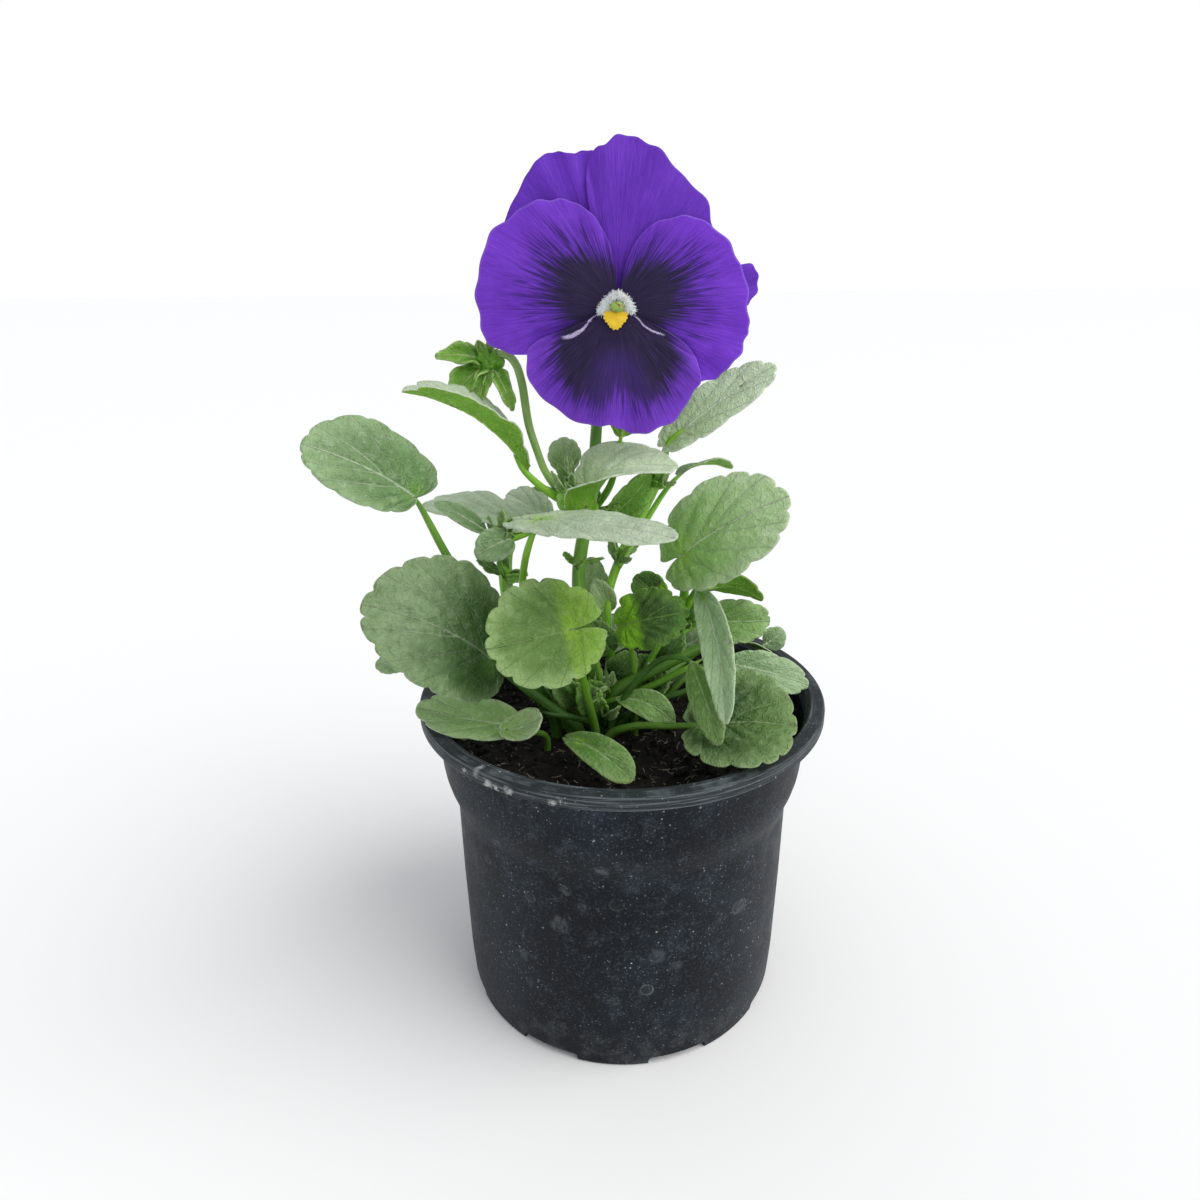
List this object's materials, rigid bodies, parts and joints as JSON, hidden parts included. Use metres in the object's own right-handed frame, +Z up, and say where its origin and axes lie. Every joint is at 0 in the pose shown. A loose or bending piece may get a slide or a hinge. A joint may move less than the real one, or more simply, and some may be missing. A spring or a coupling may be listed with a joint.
{
  "type": "potted pansy planter",
  "caption": "Pansy plant with a large violet bloom over scalloped green leaves, rooted in soil in a round black plastic nursery pot.",
  "frame": {"origin": "on the pot's axis on the ground, at the flat disc in the middle of the pot's floor", "axes": "+Z up along the pot's axis; the bloom faces -Y; +X to the right of someone who looks at the bloom"},
  "size_m": [0.1369, 0.12, 0.2452],
  "materials": {
    "pot": "moulded black plastic with dust, lime marks and fine scratches",
    "soil": "damp fibrous potting mix",
    "leaf": "satin leaf, sage green on top with pale veins, yellow-green below",
    "stem": "satin green stem",
    "petal": "velvety violet petal with fine radial streaks",
    "beard": "short white hairs",
    "heart": "velvety yellow"
  },
  "bodies": {
    "root": {"pot": "pot", "soil": "soil", "main_shoot": "stem", "left_shoot": "stem", "right_shoot": "stem", "low_right_shoot": "stem", "leaf_high_left": "leaf", "leaf_low_left": "leaf", "leaf_front_round": "leaf", "leaf_front_flat": "leaf", "leaf_dark_right": "leaf", "leaf_hanging_dark": "leaf", "leaf_low_right": "leaf", "leaf_rim_right": "leaf", "leaf_rim_far_right": "leaf", "leaf_soil_front": "leaf", "leaf_rim_left": "leaf", "leaf_rim_far_left": "leaf", "leaf_back_left": "leaf", "leaf_back_middle": "leaf", "leaf_back_right": "leaf", "leaf_back_rim": "leaf", "petal_upper_left": "petal", "petal_upper_right": "petal", "petal_left": "petal", "petal_right": "petal", "petal_lower": "petal", "beard_left": "beard", "beard_right": "beard", "throat_heart": "heart", "stigma": "stem"}
  },
  "joints": []
}
